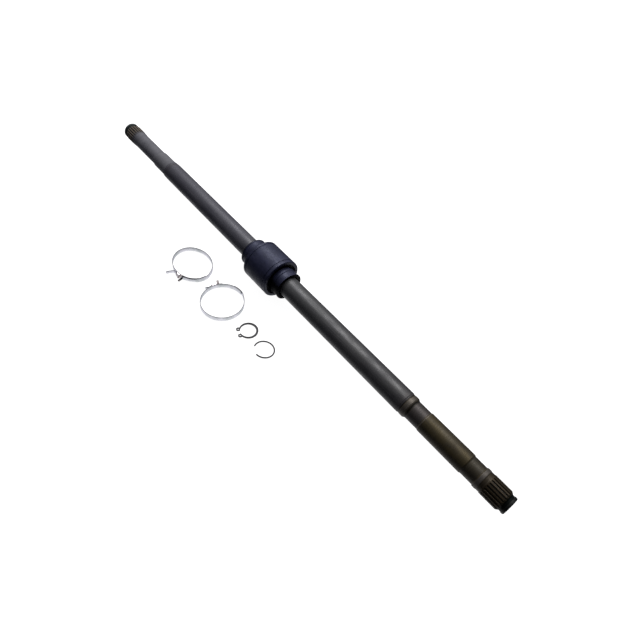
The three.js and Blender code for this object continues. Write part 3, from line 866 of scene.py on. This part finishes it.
# ------------------------------------------------------------------ wire circlip
CX, CY, CZ, WIRE = 87.0, -79.1 + AY, 0.975, 0.975
rings = []
steps = 150
for i in range(steps + 1):
    t = math.radians(272.5 + (570 - 272.5) * i / steps)
    q = t - math.radians(12)
    r = 14.1 * 13.0 / math.hypot(13.0 * math.cos(q), 14.1 * math.sin(q))
    nx, ny = math.cos(t), math.sin(t)
    rr = WIRE
    end = min(i, steps - i)
    if end == 0:
        rr = WIRE * 0.82
    rings.append([(CX + nx * (r + rr * math.cos(a)), CY + ny * (r + rr * math.cos(a)), CZ + rr * math.sin(a)) for a in [2 * math.pi * k / 20 for k in range(20)]])
wire = sweep("wire_circlip_skin", rings, M_WIRE, 50)
place(wire, "circlip", "ring_steel", "wire_circlip")

# ------------------------------------------------------------------ stage
def floor_material():
    k = Mat("studio_floor", roughness=0.9, specular=0.1)
    grain = k.noise(35, 3, 0.5)
    k.color(k.mix(k.span(grain, 0.3, 0.7), (0.16, 0.16, 0.162), (0.18, 0.18, 0.182)))
    k.b.inputs["Emission Color"].default_value = (1, 1, 1, 1)
    k.b.inputs["Emission Strength"].default_value = 0.97
    return k.m


floor = make("studio_floor", [(-6000, -6000, -0.4), (6000, -6000, -0.4), (6000, 6000, -0.4), (-6000, 6000, -0.4)], [(0, 1, 2, 3)], floor_material())
floor.visible_glossy = False
floor.visible_diffuse = False

world = bpy.data.worlds.new("studio")
bpy.context.scene.world = world
world.use_nodes = True
wt = world.node_tree
bg = wt.nodes["Background"]
tc = wt.nodes.new("ShaderNodeTexCoord")
wl = wt.links


def world_ramp(value, lo, hi, *stops):
    rng = wt.nodes.new("ShaderNodeMapRange")
    rng.inputs["From Min"].default_value = lo
    rng.inputs["From Max"].default_value = hi
    wl.new(value, rng.inputs["Value"])
    ramp = wt.nodes.new("ShaderNodeValToRGB")
    wl.new(rng.outputs[0], ramp.inputs[0])
    e = ramp.color_ramp.elements
    e[0].position, e[0].color = stops[0][0], (*stops[0][1], 1)
    e[1].position, e[1].color = stops[-1][0], (*stops[-1][1], 1)
    for pos, col in stops[1:-1]:
        e.new(pos).color = (*col, 1)
    return ramp.outputs[0]


toward = wt.nodes.new("ShaderNodeVectorMath")
toward.operation = "DOT_PRODUCT"
toward.inputs[1].default_value = Vector((-0.35, 0.45, 0.82)).normalized()
wl.new(tc.outputs["Generated"], toward.inputs[0])
split = wt.nodes.new("ShaderNodeSeparateXYZ")
wl.new(tc.outputs["Generated"], split.inputs[0])
sky = world_ramp(toward.outputs["Value"], -1, 1, (0.0, (0.03, 0.03, 0.04)), (0.40, (0.04, 0.04, 0.055)), (0.55, (0.11, 0.11, 0.135)),
                 (0.75, (0.38, 0.38, 0.40)), (1.0, (0.85, 0.85, 0.87)))
table = world_ramp(split.outputs[2], -1, 0, (0.0, (1.25, 1.25, 1.27)), (0.25, (1.12, 1.12, 1.14)), (0.40, (0.66, 0.66, 0.69)),
                   (0.58, (0.13, 0.13, 0.16)), (0.9, (0.045, 0.045, 0.06)), (1.0, (0.045, 0.045, 0.06)))
below = wt.nodes.new("ShaderNodeMath")
below.operation = "LESS_THAN"
wl.new(split.outputs[2], below.inputs[0])
both = wt.nodes.new("ShaderNodeMix")
both.data_type = "RGBA"
wl.new(below.outputs[0], both.inputs[0])
wl.new(sky, [s for s in both.inputs if s.name == "A" and s.enabled][0])
wl.new(table, [s for s in both.inputs if s.name == "B" and s.enabled][0])
wl.new([s for s in both.outputs if s.enabled][0], bg.inputs["Color"])
below.inputs[1].default_value = 0.0
bg.inputs["Strength"].default_value = 1.0


def area(name, loc, target, size, power, color=(1, 1, 1)):
    d = bpy.data.lights.new(name, "AREA")
    d.shape = "RECTANGLE"
    d.size, d.size_y = size
    d.energy = power
    d.color = color
    o = bpy.data.objects.new(name, d)
    bpy.context.scene.collection.objects.link(o)
    o.location = loc
    o.rotation_euler = (Vector(target) - Vector(loc)).to_track_quat("-Z", "Y").to_euler()
    return o


area("key_top_back", (-0.28, 0.50, 1.15), (-0.15, 0.03, 0), (1.35, 0.6), 30, (1.0, 0.99, 0.98))

# ------------------------------------------------------------------ camera
cam_data = bpy.data.cameras.new("camera")
cam_data.sensor_width = 36
cam_data.lens = 28.125
cam_data.clip_start, cam_data.clip_end = 0.01, 50
cam = bpy.data.objects.new("camera", cam_data)
bpy.context.scene.collection.objects.link(cam)
az, el, roll, dist = math.radians(41.212), math.radians(50), math.radians(11.049), 0.71266
look = Vector((0.09035, (16.556 + AY) / 1000, 0))
d = Vector((math.sin(az) * math.cos(el), -math.cos(az) * math.cos(el), math.sin(el)))
right = (-d).cross(Vector((0, 0, 1))).normalized()
up = right.cross(-d)
r2 = math.cos(roll) * right + math.sin(roll) * up
u2 = -math.sin(roll) * right + math.cos(roll) * up
cam.matrix_world = Matrix((
    (r2.x, u2.x, d.x, look.x + d.x * dist),
    (r2.y, u2.y, d.y, look.y + d.y * dist),
    (r2.z, u2.z, d.z, look.z + d.z * dist),
    (0, 0, 0, 1),
))
bpy.context.scene.camera = cam
bpy.context.scene.view_settings.view_transform = "Standard"
bpy.context.scene.view_settings.look = "None"
